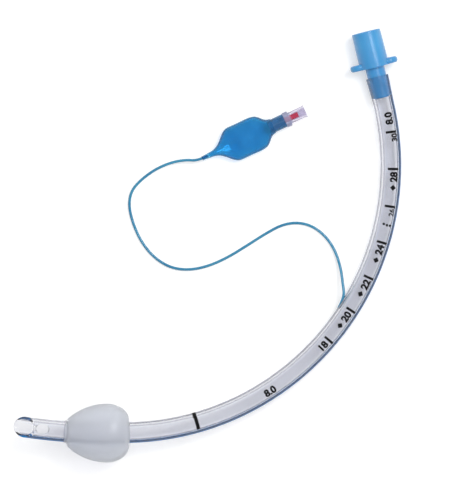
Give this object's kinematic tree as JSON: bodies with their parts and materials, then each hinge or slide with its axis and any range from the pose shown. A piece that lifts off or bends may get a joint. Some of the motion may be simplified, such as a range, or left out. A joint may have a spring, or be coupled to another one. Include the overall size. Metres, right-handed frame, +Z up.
{
  "type": "endotracheal tube",
  "caption": "Curved clear breathing tube with bevelled tip, side eye and inflated cuff, a blue conical connector, and a thin inflation line to a pilot balloon with a sprung valve.",
  "frame": {"origin": "on the surface that the tube lies on, under the middle of the box round the tube, the cuff and the connector", "axes": "+Z up, +X from the bevelled tip towards the outside of the bend, +Y towards the connector"},
  "size_m": [0.205, 0.2306, 0.0313],
  "materials": {
    "clear_pvc": "clear, glossy",
    "line_blue": "coloured through, glossy",
    "frosted_pvc": "frosted, translucent",
    "connector_blue": "satin gloss",
    "inflation_blue": "glossy",
    "balloon_blue": "glossy, translucent",
    "clear_valve": "clear, glossy",
    "valve_red": "glossy",
    "seal_rubber": "soft, matt",
    "spring_steel": "bright wire",
    "retainer_white": "satin"
  },
  "bodies": {
    "tube": {"tube_shaft": "clear_pvc", "radiopaque_line": "line_blue", "cuff": "frosted_pvc", "machine_connector": "connector_blue", "inflation_line": "inflation_blue", "pilot_balloon": "balloon_blue", "valve_housing": "clear_valve", "valve_spring": "spring_steel", "spring_retainer": "retainer_white"},
    "plunger": {"valve_plunger": "valve_red", "plunger_seal": "seal_rubber"}
  },
  "joints": [
    {"name": "plunger_slide", "type": "slide", "parent": "tube", "child": "plunger", "axis": [-0.9063, -0.4226, 0], "range_m": [0, 0.0012], "stiffness_N_per_m": 600, "springref_m": -0.001, "deforming": ["valve_spring"]}
  ]
}
